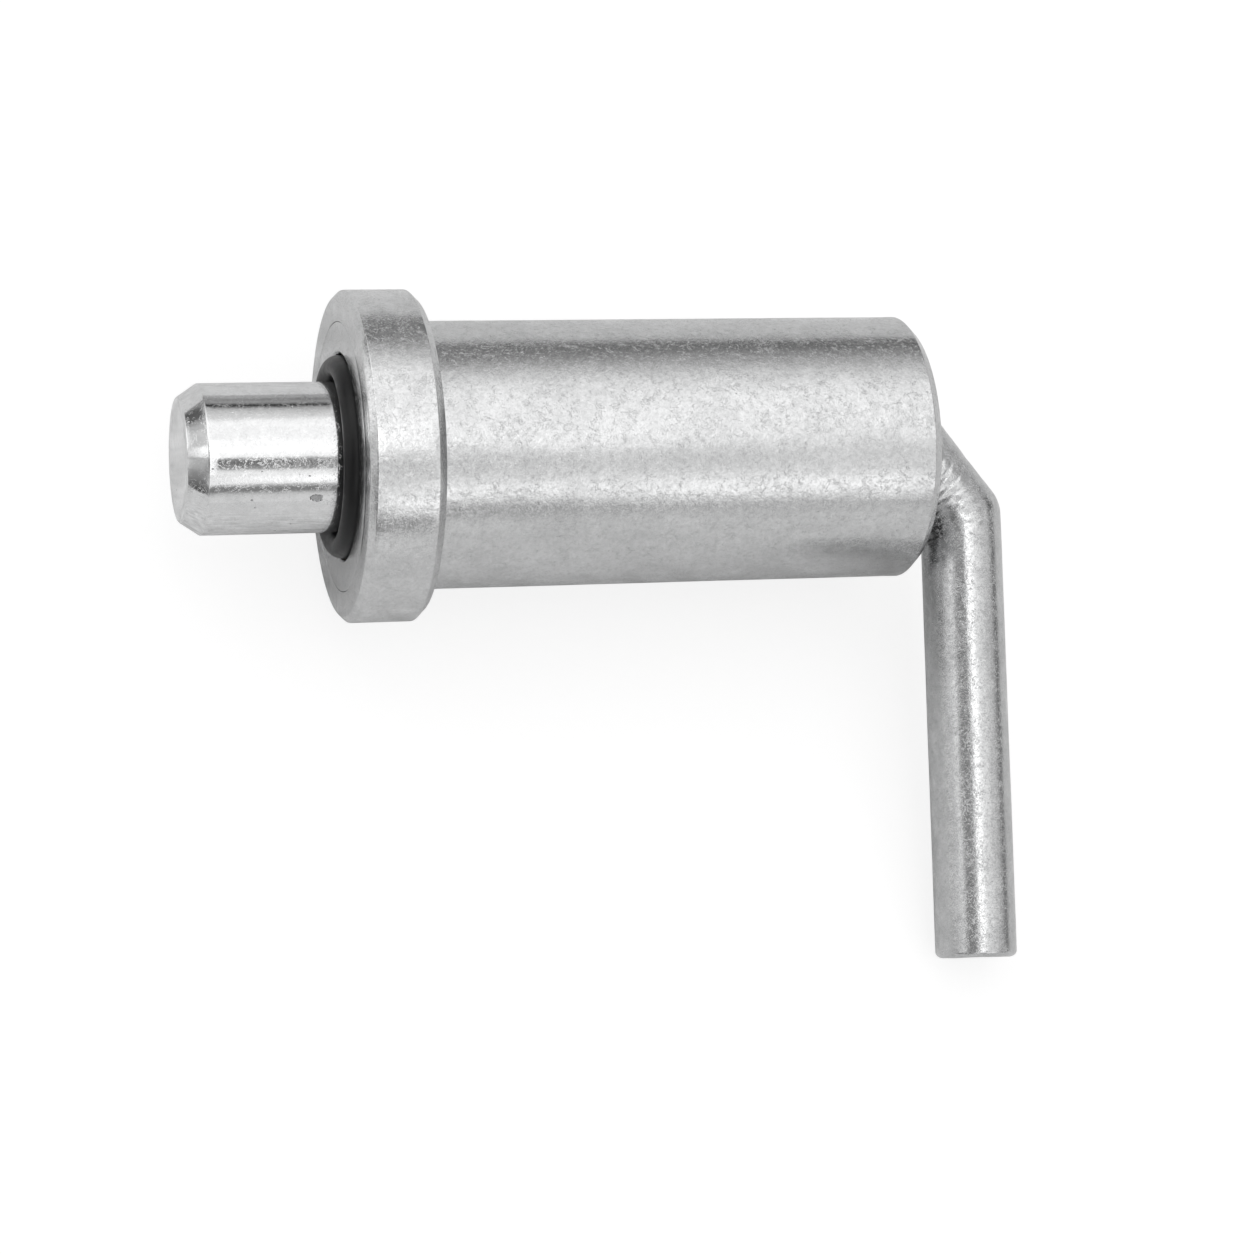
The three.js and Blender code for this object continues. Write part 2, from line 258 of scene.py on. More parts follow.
def zinc(name, light, dark, rough, rough_var, crinkle, wave, lines=None, pits=0.0, seed=0.0, cloud_scale=0.16, skin_scale=2.1, dirt=0.06, grains=0.25, flecks=0.2, mottle=0.05, scars=()):
    """Bright zinc plate. crinkle, wave: bump depths in mm of the fine skin and of the slow undulation.
    scars: (centre, half sizes, depth, darkening) of single marks, in mm."""
    m, nt, b = new_mat(name)
    k = N(nt)
    p = k.vadd(k.mm, (seed * 17.3, seed * 9.1, seed * 31.7))
    cloud = k.noise(p, cloud_scale, 5, 0.6, 0.4)           # 6 mm clouds
    patch = k.noise(p, 0.55, 5, 0.62, 1.2)                 # 2 mm patches
    skin = k.noise(p, skin_scale, 6, 0.62, 1.4)            # half-millimetre crinkle
    curl = k.noise(p, skin_scale * 0.5, 4, 0.55, 2.2)      # curled scratches and folds of the plate
    fine = k.noise(p, skin_scale * 3.0, 3, 0.6, 0.6)
    tone = k.math("ADD", k.math("MULTIPLY", cloud, 0.55), k.math("MULTIPLY", patch, 0.45))
    mask = k.ramp(tone, 0.36, 0.64, 0.0, 1.0)
    base = k.mix(mask, dark, light)
    speck = k.ramp(fine, 0.66, 0.74, 0.0, 1.0)
    base = k.mix(k.math("MULTIPLY", speck, flecks), base, (dark[0] * 0.45, dark[1] * 0.45, dark[2] * 0.47))
    r = k.math("ADD", k.ramp(tone, 0.36, 0.64, rough + rough_var, rough - rough_var * 0.6), k.ramp(fine, 0.3, 0.7, -0.015, 0.03), clamp=True)
    ridge = k.ramp(k.math("ABSOLUTE", k.math("SUBTRACT", curl, 0.5)), 0.0, 0.03, 1.0, 0.0)
    some = k.ramp(k.noise(p, 0.9, 3, 0.55, 0.8), 0.47, 0.57, 0.0, 1.0)
    h = k.math("ADD", k.math("MULTIPLY", k.math("MULTIPLY", ridge, some), 0.50), skin)
    h = k.math("ADD", h, k.math("MULTIPLY", fine, 0.10))
    glint = k.noise(p, skin_scale * 2.2, 2, 0.5, 0.8)      # raised grains that catch the light
    h = k.math("ADD", h, k.math("MULTIPLY", k.math("MULTIPLY", k.ramp(glint, 0.63, 0.70, 0.0, 1.0), grains), 1.0))
    nrm = k.bump(h, crinkle)
    hollow = k.ramp(skin, 0.30, 0.48, 1.0 - dirt, 1.0)          # dirt and oxide sit in the hollows
    blot = k.noise(p, skin_scale * 1.1, 5, 0.66, 1.0)      # blotches of the plate
    hollow = k.math("MULTIPLY", hollow, k.ramp(blot, 0.36, 0.62, 1.0 - mottle * 1.6, 1.0 + mottle * 0.6))
    vm = nt.nodes.new("ShaderNodeVectorMath"); vm.operation = "SCALE"
    k.link(base, vm.inputs[0]); k.link(hollow, vm.inputs["Scale"])
    base = vm.outputs[0]
    slow = k.noise(p, 0.34, 3, 0.5, 0.3)
    nrm = k.bump(slow, wave, 1.0, nrm)
    if lines:
        # fine drawn or turned lines: (scale along x, y, z), depth in mm
        sc, depth = lines
        ln = k.noise(k.vscale(p, sc), 1.0, 3, 0.6, 0.0)
        nrm = k.bump(ln, depth, 1.0, nrm)
        r = k.math("ADD", r, k.ramp(ln, 0.35, 0.65, -0.02, 0.03), clamp=True)
    if pits > 0:
        v = k.voronoi(p, 0.75)
        keep = k.noise(p, 0.42, 1, 0.5)
        dot = k.math("MULTIPLY", k.ramp(v, 0.05, 0.13, 1.0, 0.0), k.ramp(keep, 0.58, 0.64, 0.0, 1.0))
        nrm = k.bump(dot, -pits, 1.0, nrm)
        base = k.mix(k.math("MULTIPLY", dot, 0.6), base, (0.13, 0.13, 0.135))
        r = k.math("ADD", r, k.math("MULTIPLY", dot, 0.3), clamp=True)
    for centre, half, depth, dark_by in scars:
        rel = k.vscale(k.vadd(k.mm, tuple(-c for c in centre)), tuple(1.0 / q for q in half))
        rel = k.vadd(rel, k.vscale(k.vadd(k.noise_color(p, 1.6, 3), (-0.5, -0.5, -0.5)), (1.3, 1.3, 1.3)))
        ln = nt.nodes.new("ShaderNodeVectorMath"); ln.operation = "LENGTH"
        k.link(rel, ln.inputs[0])
        spot = k.ramp(ln.outputs["Value"], 0.75, 1.0, 1.0, 0.0)
        nrm = k.bump(spot, -depth, 1.0, nrm)
        base = k.mix(k.math("MULTIPLY", spot, dark_by), base, (0.16, 0.16, 0.165))
        r = k.math("ADD", r, k.math("MULTIPLY", spot, 0.22), clamp=True)
    b.inputs["Metallic"].default_value = 1.0
    k.link(base, b.inputs["Base Color"])
    k.link(r, b.inputs["Roughness"])
    k.link(nrm, b.inputs["Normal"])
    return m

g = lambda v, c=0.0: (v - c, v, v + c)
M_BARREL = zinc("zinc_barrel", g(0.675, .003), g(0.595, .003), 0.150, 0.03, 0.026, 0.050, None, 0.0, seed=1, skin_scale=1.35, dirt=0.10, grains=0.40, flecks=0.12, mottle=0.055)
M_COLLAR = zinc("zinc_collar", g(0.715, .003), g(0.615, .003), 0.12, 0.03, 0.022, 0.040, ((4.0, 0.3, 0.3), 0.003), 0.0, seed=2, skin_scale=1.6, dirt=0.10, grains=0.40, flecks=0.12, mottle=0.06)
M_PIN = zinc("zinc_pin", g(0.80, .003), g(0.73, .003), 0.030, 0.010, 0.0055, 0.016, ((4.0, 0.12, 0.12), 0.0005), 0.08, seed=3, skin_scale=1.3, dirt=0.08, grains=0.6, flecks=0.1, mottle=0.03,
             scars=[((-13.14, -7.18, 5.35), (0.80, 0.50, 0.50), 0.10, 0.55)])
M_HANDLE = zinc("zinc_handle", g(0.66, .003), g(0.54, .003), 0.028, 0.012, 0.026, 0.026, ((1.2, 0.18, 1.6), 0.001), 0.0, seed=4, skin_scale=2.2, dirt=0.17, grains=0.65, flecks=0.15, mottle=0.05)

def rubber():
    m, nt, b = new_mat("seal_rubber")
    k = N(nt)
    dust = k.noise(k.mm, 0.9, 6, 0.65, 0.5)
    fine = k.noise(k.mm, 9.0, 4, 0.6)
    base = k.mix(k.ramp(dust, 0.5, 0.75, 0.0, 0.6), (0.006, 0.006, 0.0065), (0.016, 0.016, 0.0165))
    k.link(base, b.inputs["Base Color"])
    k.link(k.ramp(dust, 0.3, 0.7, 0.30, 0.42), b.inputs["Roughness"])
    k.link(k.bump(fine, 0.006, 1.0, k.bump(dust, 0.02)), b.inputs["Normal"])
    b.inputs["Specular IOR Level"].default_value = 0.3
    return m

def plain_metal(name, light, dark, rough, lines, depth, seed):
    m, nt, b = new_mat(name)
    k = N(nt)
    p = k.vadd(k.mm, (seed * 11.0, seed * 5.0, seed * 3.0))
    ln = k.noise(k.vscale(p, lines), 1.0, 4, 0.65)
    cloud = k.noise(p, 0.5, 5, 0.6, 0.6)
    fine = k.noise(p, 6.0, 4, 0.6)
    k.link(k.mix(k.ramp(cloud, 0.35, 0.65, 0.0, 1.0), dark, light), b.inputs["Base Color"])
    k.link(k.math("ADD", k.ramp(cloud, 0.3, 0.7, rough + 0.07, rough - 0.05), k.ramp(ln, 0.3, 0.7, -0.03, 0.05), clamp=True), b.inputs["Roughness"])
    k.link(k.bump(fine, depth * 0.5, 1.0, k.bump(ln, depth)), b.inputs["Normal"])
    b.inputs["Metallic"].default_value = 1.0
    return m

M_STEEL = plain_metal("turned_steel", g(0.60), g(0.50), 0.30, (6.0, 0.4, 0.4), 0.006, 5)
M_SPRING = plain_metal("spring_steel", g(0.46), g(0.34), 0.33, (0.6, 0.6, 0.6), 0.004, 6)
M_RING = plain_metal("ring_steel", g(0.14), g(0.08), 0.42, (0.8, 1.5, 1.5), 0.006, 7)
M_BRONZE = plain_metal("bronze", (0.70, 0.49, 0.25), (0.55, 0.37, 0.18), 0.38, (5.0, 0.4, 0.4), 0.006, 8)
M_RUBBER = rubber()

# --------------------------------------------------------------------- pieces
pieces = []
def use(ob, body, node):
    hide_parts(node)
    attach(ob, body)
    pieces.append(ob)
    return ob

def wobble(amount, scale, seed):
    def f(r, x, t):
        w = noise.noise(Vector((x * scale, r * math.cos(t) * scale, r * math.sin(t) * scale)) + Vector((seed, 0, 0)))
        return r - abs(amount) * (0.5 + 0.5 * w), x
    return f

# Barrel tube, with the ring groove and the seal's seat inside.
def barrel_warp(r, x, t):
    if r > 15.4 and 0.4 < x < 60.2:
        w = noise.noise(Vector((x * 0.10, math.cos(t) * 2.2 + 7, math.sin(t) * 2.2)))
        return r - 0.02 - 0.02 * w, x
    return r, x
ob = turned("barrel_tube_fine", [
    (16.0, -8.98, 0.12), (16.0, 60.4, 0.16), (14.9, 61.5, 0.16), (12.3, 61.5, 0.10), (12.0, 61.2, 0.10), (12.0, 58.95, 0.05),
    (12.62, 58.95, 0.0), (12.62, 57.65, 0.0), (12.0, 57.65, 0.05), (12.0, -7.2, 0.0), (12.25, -7.2, 0.1),
    (12.25, -8.7, 0.1), (12.55, -8.98, 0.08)], M_BARREL, seg=224, step=1.6, warp=barrel_warp)
use(ob, "housing", "barrel_tube")

# Collar ring, pressed on, with a fine witness line where it meets the tube.
ob = turned("collar_ring_fine", [
    (16.03, -9.0, 0.10), (19.0, -9.0, 0.28), (19.75, -8.25, 0.28), (19.75, -1.0, 0.18), (18.75, 0.0, 0.18), (16.03, 0.0, 0.05)],
    M_COLLAR, seg=224, step=0.9)
use(ob, "housing", "collar_ring")

# Wiper seal: a round bead of oval section round the plunger.
prof = []
for i in range(28):
    t = 2 * math.pi * i / 28
    r = 10.72 + 1.33 * math.cos(t)
    x = -8.95 + 1.5 * math.sin(t)
    prof.append((r, x, 0))
ob = turned("wiper_seal_fine", prof, M_RUBBER, seg=160)
use(ob, "housing", "wiper_seal")

ob = turned("front_guide_bush_fine", [(9.05, -7.1, 0.1), (11.95, -7.1, 0.35), (11.95, 6.0, 0.2), (9.05, 6.0, 0.25)], M_BRONZE, seg=160, step=2.0)
use(ob, "housing", "front_guide_bush")
ob = turned("rear_guide_bush_fine", [(5.15, 49.6, 0.2), (11.95, 49.6, 0.2), (11.95, 57.6, 0.4), (5.65, 57.6, 0.1), (5.15, 57.2, 0.1)], M_STEEL, seg=160, step=2.0)
use(ob, "housing", "rear_guide_bush")
ob = turned("thrust_washer_fine", [(5.25, 13.1, 0.15), (11.5, 13.1, 0.3), (11.5, 14.6, 0.3), (5.25, 14.6, 0.15)], M_STEEL, seg=160)
use(ob, "washer", "thrust_washer")

# Plunger pin.
ob = turned("plunger_pin_fine", [
    (0, -28.2, 0), (7.35, -28.2, 0.45), (8.95, -25.8, 0.35), (8.95, 6.1, 0.2), (11.6, 6.1, 0.3), (11.6, 13.0, 0.3),
    (5.1, 13.0, 0.3), (5.1, -8.0, 0.3), (0, -8.0, 0)], M_PIN, seg=192, closed=False, step=1.2)
use(ob, "plunger", "plunger_pin")

# Retaining ring: a C with an eyed lug at each end.
def ring_piece():
    bm = bmesh.new()
    def arc(r, f, t, n):
        return [(r * math.sin(math.radians(f + (t - f) * i / n)), r * math.cos(math.radians(f + (t - f) * i / n))) for i in range(n + 1)]
    gp, lg = 17, 34
    outer = arc(12.5, gp, 360 - gp, 160)
    inner = arc(8.9, 360 - gp, 360 - lg, 10) + arc(11.0, 360 - lg - 1.5, lg + 1.5, 140) + arc(8.9, lg, gp, 10)
    outline = outer + inner
    curve = bpy.data.curves.new("c", "CURVE"); curve.dimensions = "2D"; curve.fill_mode = "BOTH"
    curve.extrude = 0.0006 - 0.00012; curve.bevel_depth = 0.00012; curve.bevel_resolution = 2; curve.offset = -0.00012
    def spline(pts):
        s = curve.splines.new("POLY"); s.points.add(len(pts) - 1)
        for q, (u, v) in zip(s.points, pts): q.co = (u * MM, v * MM, 0, 1)
        s.use_cyclic_u = True
    spline(outline)
    for sd in (1, -1):
        an = math.radians(sd * (gp + lg) / 2)
        cx, cy = 10.7 * math.sin(an), 10.7 * math.cos(an)
        spline([(cx + math.cos(2 * math.pi * i / 32), cy + math.sin(2 * math.pi * i / 32)) for i in range(32)])
    tmp = bpy.data.objects.new("c", curve); col.objects.link(tmp)
    dg = bpy.context.evaluated_depsgraph_get()
    me = bpy.data.meshes.new_from_object(tmp.evaluated_get(dg))
    bpy.data.objects.remove(tmp); bpy.data.curves.remove(curve)
    # curve plane (u, v, w) to the row frame: v is up, w runs along X
    me.transform(Matrix(((0, 0, 1, 58.3 * MM), (1, 0, 0, 0), (0, 1, 0, 0), (0, 0, 0, 1))))
    bm.from_mesh(me)
    bmesh.ops.remove_doubles(bm, verts=bm.verts, dist=1e-7)
    bmesh.ops.recalc_face_normals(bm, faces=bm.faces)
    for f in bm.faces: f.smooth = False
    bm.to_mesh(me); bm.free()
    me.materials.clear(); me.materials.append(M_RING)
    me.name = "rear_retaining_ring_fine"
    ob = bpy.data.objects.new("rear_retaining_ring_fine", me); col.objects.link(ob)
    return ob
use(ring_piece(), "housing", "rear_retaining_ring")

# Compression spring, ends closed and ground flat.
def spring_piece():
    turns, per, sides = 7.5, 48, 16
    x0, x1, pe = 14.65 + 0.45, 49.55 - 0.45, 2.05
    act = (x1 - x0 - 2 * pe) / (turns - 2)
    def slope(u):
        e = min(u, turns - u)
        w = min(max((e - 0.8) / 0.4, 0.0), 1.0)
        w = w * w * (3 - 2 * w)
        return pe + (act - pe) * w
    n = int(turns * per)
    xs = [0.0]
    for i in range(n):
        xs.append(xs[-1] + slope((i + 0.5) * turns / n) * turns / n)
    k = (x1 - x0) / xs[-1]
    verts, faces = [], []
    for i in range(n + 1):
        u = turns * i / n
        c = Vector((x0 + xs[i] * k, 10.3 * math.cos(2 * math.pi * u), 10.3 * math.sin(2 * math.pi * u)))
        rad = Vector((0, math.cos(2 * math.pi * u), math.sin(2 * math.pi * u)))
        tan = Vector((slope(u) * k / (2 * math.pi * 10.3), -math.sin(2 * math.pi * u), math.cos(2 * math.pi * u))).normalized()
        bi = tan.cross(rad).normalized()
        for s in range(sides):
            t = 2 * math.pi * s / sides
            p = c + rad * (0.9 * math.cos(t)) + bi * (0.9 * math.sin(t))
            p.x = min(max(p.x, 14.65), 49.55)
            verts.append(tuple(p))
    for i in range(n):
        for s in range(sides):
            t = (s + 1) % sides
            faces.append((i * sides + s, i * sides + t, (i + 1) * sides + t, (i + 1) * sides + s))
    faces.append(tuple(reversed(range(sides))))
    faces.append(tuple(n * sides + s for s in range(sides)))
    return make("compression_spring_fine", verts, faces, M_SPRING)
ob = spring_piece()
use(ob, "housing", "compression_spring")
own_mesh(ob)

# Roll pin through the plunger's head and the rod: rolled sheet with its slot.
def roll_pin():
    n, ln = 28, 11.2
    sec = []
    for i in range(n + 1):
        t = math.radians(14 + (332) * i / n)
        sec.append((1.45 * math.cos(t), 1.45 * math.sin(t)))
    for i in range(n, -1, -1):
        t = math.radians(14 + (332) * i / n)
        sec.append((0.95 * math.cos(t), 0.95 * math.sin(t)))
    verts, faces, m = [], [], len(sec)
    rows = [(-ln, 0.86), (-ln + 0.5, 1.0), (ln - 0.5, 1.0), (ln, 0.86)]
    for w, s in rows:
        for (u, v) in sec:
            verts.append((9.5 + u * s, v * s, w))
    for k in range(len(rows) - 1):
        for i in range(m):
            j = (i + 1) % m
            faces.append((k * m + i, k * m + j, (k + 1) * m + j, (k + 1) * m + i))
    for k, rev in ((0, True), (len(rows) - 1, False)):
        for i in range(n):
            f = [k * m + i, k * m + i + 1, k * m + m - 2 - i, k * m + m - 1 - i]
            faces.append(tuple(reversed(f)) if rev else tuple(f))
    ob = make("handle_cross_pin_fine", verts, faces, M_STEEL)
    ob.data.transform(Matrix.Rotation(TURN, 4, "X"))
    return ob
use(roll_pin(), "plunger", "handle_cross_pin")

# Handle rod. Each line along the rod is the offset of the centreline's three
# legs, with its own corner radius, so the outer side of the bend has the two
# firm corners and the flat between them, and the inner side stays tight.
def handle_piece():
    sides = 120
    end = (HANDLE_X - HANDLE_L * math.sin(LEAN), HANDLE_L * math.cos(LEAN))
    path = [Vector((-7.7, 0)), Vector(BEND_1), Vector(BEND_2), Vector(end)]     # (x, drop)
    dirs = [(path[i + 1] - path[i]).normalized() for i in range(3)]
    outs = [Vector((d.y, -d.x)) for d in dirs]            # outer side of the bend
    def cross(p, d, q, e):
        t = ((q.x - p.x) * e.y - (q.y - p.y) * e.x) / (d.x * e.y - d.y * e.x)
        return p + d * t
    def line_for(o):
        """Points of the offset line at signed offset o, with matching stations."""
        A = path[0] + outs[0] * o
        C1 = cross(path[0] + outs[0] * o, dirs[0], path[1] + outs[1] * o, dirs[1])
        C2 = cross(path[1] + outs[1] * o, dirs[1], path[2] + outs[2] * o, dirs[2])
        E = path[3] + outs[2] * o
        w = (o + ROD_R) / (2 * ROD_R)
        rho = 3.2 + (4.2 - 3.2) * w + 15.2 * w * (1 - w)
        pts = []
        def leg(p, q, n, first, ease=1.0, late=False):
            for i in range(0 if first else 1, n + 1):
                f = i / n
                f = 1 - (1 - f) ** ease if late else f ** ease       # closer rows next to the bend
                pts.append(p.lerp(q, f))
        def corner(C, d0, d1, m):
            b = d0.angle(d1)
            T = rho * math.tan(b / 2)
            s = C - d0 * T
            side = (d1 - d0 * d1.dot(d0)).normalized()
            arc = [s + d0 * (rho * math.sin(b * i / m)) + side * (rho * (1 - math.cos(b * i / m))) for i in range(1, m + 1)]
            return s, arc
        s1, arc1 = corner(C1, dirs[0], dirs[1], 16)
        s2, arc2 = corner(C2, dirs[1], dirs[2], 16)
        leg(A, s1, 50, True, 1.6, True)
        pts.extend(arc1)
        leg(arc1[-1], s2, 26, False)
        pts.extend(arc2)
        leg(arc2[-1], E, 110, False, 1.5)
        return pts
    cols = []
    for s in range(sides):
        t = 2 * math.pi * s / sides
        cols.append((ROD_R * math.cos(t), ROD_R * math.sin(t), line_for(ROD_R * math.cos(t))))
    rows = len(cols[0][2])
    centre = line_for(0.0)
    verts, faces = [], []
    bend_mid = (Vector(BEND_1) + Vector(BEND_2)) / 2
    S = [0.0]                                     # length along the centreline, zero at the middle of the bend
    for i in range(1, rows):
        S.append(S[-1] + (centre[i] - centre[i - 1]).length)
    S0 = S[50 + 16 + 13]
    d1 = (Vector(BEND_2) - Vector(BEND_1)).normalized()
    o1 = Vector((d1.y, -d1.x))
    def bell(x, lo, hi, soft):
        a0 = min(1.0, max(0.0, (x - lo) / soft)); b0 = min(1.0, max(0.0, (hi - x) / soft))
        return a0 * a0 * (3 - 2 * a0) * b0 * b0 * (3 - 2 * b0)
    for i in range(rows):
        c2 = centre[i]
        for s, (o, w, pts) in enumerate(cols):
            t = 2 * math.pi * s / sides
            p2 = pts[i]
            near = max(0.0, 1 - (c2 - bend_mid).length / 9.0)
            near = near * near * (3 - 2 * near)
            v = Vector((p2.x, -p2.y, w * (1 + 0.035 * near)))
            axis_p = Vector((c2.x, -c2.y, 0))
            out = (v - axis_p)
            n = out.normalized()
            dsp = 0.0
            # flattened outer corner
            dsp -= 0.30 * near * max(0.0, math.cos(t)) ** 4
            # crushed, rippled skin on the inner and upper side of the bend
            along = (c2 - bend_mid).dot((Vector(BEND_2) - Vector(BEND_1)).normalized())
            inner = max(0.0, -math.cos(t) * 0.55 + 0.62)
            q = v * 0.5
            jig = noise.noise(q) * 1.1
            dsp += 0.04 * near * inner * math.sin(along * 5.2 + jig * 1.6 + math.sin(t * 2) * 0.6)
            dsp += 0.05 * near * noise.noise(v * 0.8 + Vector((5, 3, 1)))
            # short transverse creases across the crushed face
            s_mm = S[i] - S0
            face = bell(math.degrees(t), 64, 122, 16) * bell(s_mm, -2.6, 8.0, 1.8)
            if face > 0:
                ph = s_mm * 2 * math.pi / 1.45 + (t - math.pi / 2) * 1.1 + 1.6 * noise.noise(v * 0.45 + Vector((9, 2, 4)))
                dsp -= 0.085 * face * max(0.0, math.sin(ph)) ** 3
            # lens-shaped flat pressed by the bending tool beside the first corner
            rel = p2 - Vector(BEND_1)
            if w > 0:
                q2 = ((rel.dot(d1) - 4.85) / 2.7) ** 2 + ((rel.dot(o1) - 1.85) / 1.05) ** 2
                if q2 < 1:
                    dsp -= 0.07 * min(1.0, 1.8 * (1 - q2))
            # slow hammered unevenness all along the drawn rod
            dsp += 0.022 * (noise.noise(Vector((v.x * 0.5, v.y * 0.10, v.z * 0.5))) - 0.4)
            v = v + n * dsp
            v.x = min(v.x, 73.79)                 # stays inside the rod's drawn outline
            verts.append(tuple(v))
    # rounded, slightly uneven end
    def ring(i):
        return [verts[i * sides + s] for s in range(sides)]
    for i in range(rows - 1):
        for s in range(sides):
            t = (s + 1) % sides
            faces.append((i * sides + s, i * sides + t, (i + 1) * sides + t, (i + 1) * sides + s))
    def cap(i, direction, radius, rev, uneven):
        nonlocal verts, faces
        base = [Vector(verts[i * sides + s]) for s in range(sides)]
        c = sum(base, Vector()) / sides
        prev = [i * sides + s for s in range(sides)]
        # pull the last ring back by the edge radius, then round over to the face
        for s in range(sides):
            verts[i * sides + s] = tuple(base[s] - direction * radius)
        m = 6
        for j in range(1, m + 1):
            b = (math.pi / 2) * j / m
            cur = []
            for s in range(sides):
                rad = (base[s] - c)
                L = rad.length
                u = rad / L
                p = c + u * (L - radius * (1 - math.cos(b))) - direction * (radius * (1 - math.sin(b)))
                if uneven:
                    p += direction * (-0.10 + 0.10 * noise.noise(p * 0.35)) * (j / m)
                verts.append(tuple(p)); cur.append(len(verts) - 1)
            for s in range(sides):
                t = (s + 1) % sides
                faces.append((prev[s], prev[t], cur[t], cur[s]))
            prev = cur
        for k in (0.85, 0.6, 0.3):
            cur = []
            for s in range(sides):
                p = Vector(verts[prev[s]]) if k == 0.85 else Vector(verts[prev[s]])
                rr = (base[s] - c)
                q = c + rr * k
                if uneven:
                    q += direction * (-0.10 + 0.10 * noise.noise(q * 0.35))
                verts.append(tuple(q)); cur.append(len(verts) - 1)
            for s in range(sides):
                t = (s + 1) % sides
                faces.append((prev[s], prev[t], cur[t], cur[s]))
            prev = cur
        q = c + (direction * (-0.10 + 0.10 * noise.noise(c * 0.35)) if uneven else Vector())
        verts.append(tuple(q)); ci = len(verts) - 1
        for s in range(sides):
            faces.append((prev[s], prev[(s + 1) % sides], ci))
    d_end = Vector((dirs[2].x, -dirs[2].y, 0))
    cap(rows - 1, d_end, 0.85, False, True)
    cap(0, Vector((-1, 0, 0)), 0.5, True, False)
    ob = make("handle_rod_fine", verts, faces, M_HANDLE)
    ob.data.transform(Matrix.Rotation(TURN, 4, "X"))
    return ob
use(handle_piece(), "plunger", "handle_rod")

# ---------------------------------------------------------------------- stage
def floor():
    """White paper. It is overexposed towards the lens, as on a product table, and plain paper to the lock's reflections."""
    m, nt, b = new_mat("floor_paper")
    k = N(nt)
    n = k.ramp(k.noise(k.mm, 0.30, 5, 0.65, 0.6), 0.34, 0.66, 0.0, 1.0)      # painted shade: random light and dark patches stand in for the shading of soft creases in the sheet, seen only in the lock's reflections
    paper = k.mix(n, (0.64, 0.64, 0.64), (0.94, 0.94, 0.94))
    lp = nt.nodes.new("ShaderNodeLightPath")
    k.link(k.mix(lp.outputs["Is Camera Ray"], paper, (0.27, 0.27, 0.27)), b.inputs["Base Color"])
    b.inputs["Emission Color"].default_value = (1, 1, 1, 1)
    k.link(k.math("MULTIPLY", lp.outputs["Is Camera Ray"], 0.795), b.inputs["Emission Strength"])
    b.inputs["Roughness"].default_value = 0.9
    b.inputs["Specular IOR Level"].default_value = 0.1
    me = bpy.data.meshes.new("floor")
    s, z = 3.0, -19.78 * MM
    me.from_pydata([(-s, -s, z), (s, -s, z), (s, s, z), (-s, s, z)], [], [(0, 1, 2, 3)])
    me.materials.append(m)
    ob = bpy.data.objects.new("floor", me)
    col.objects.link(ob)
floor()

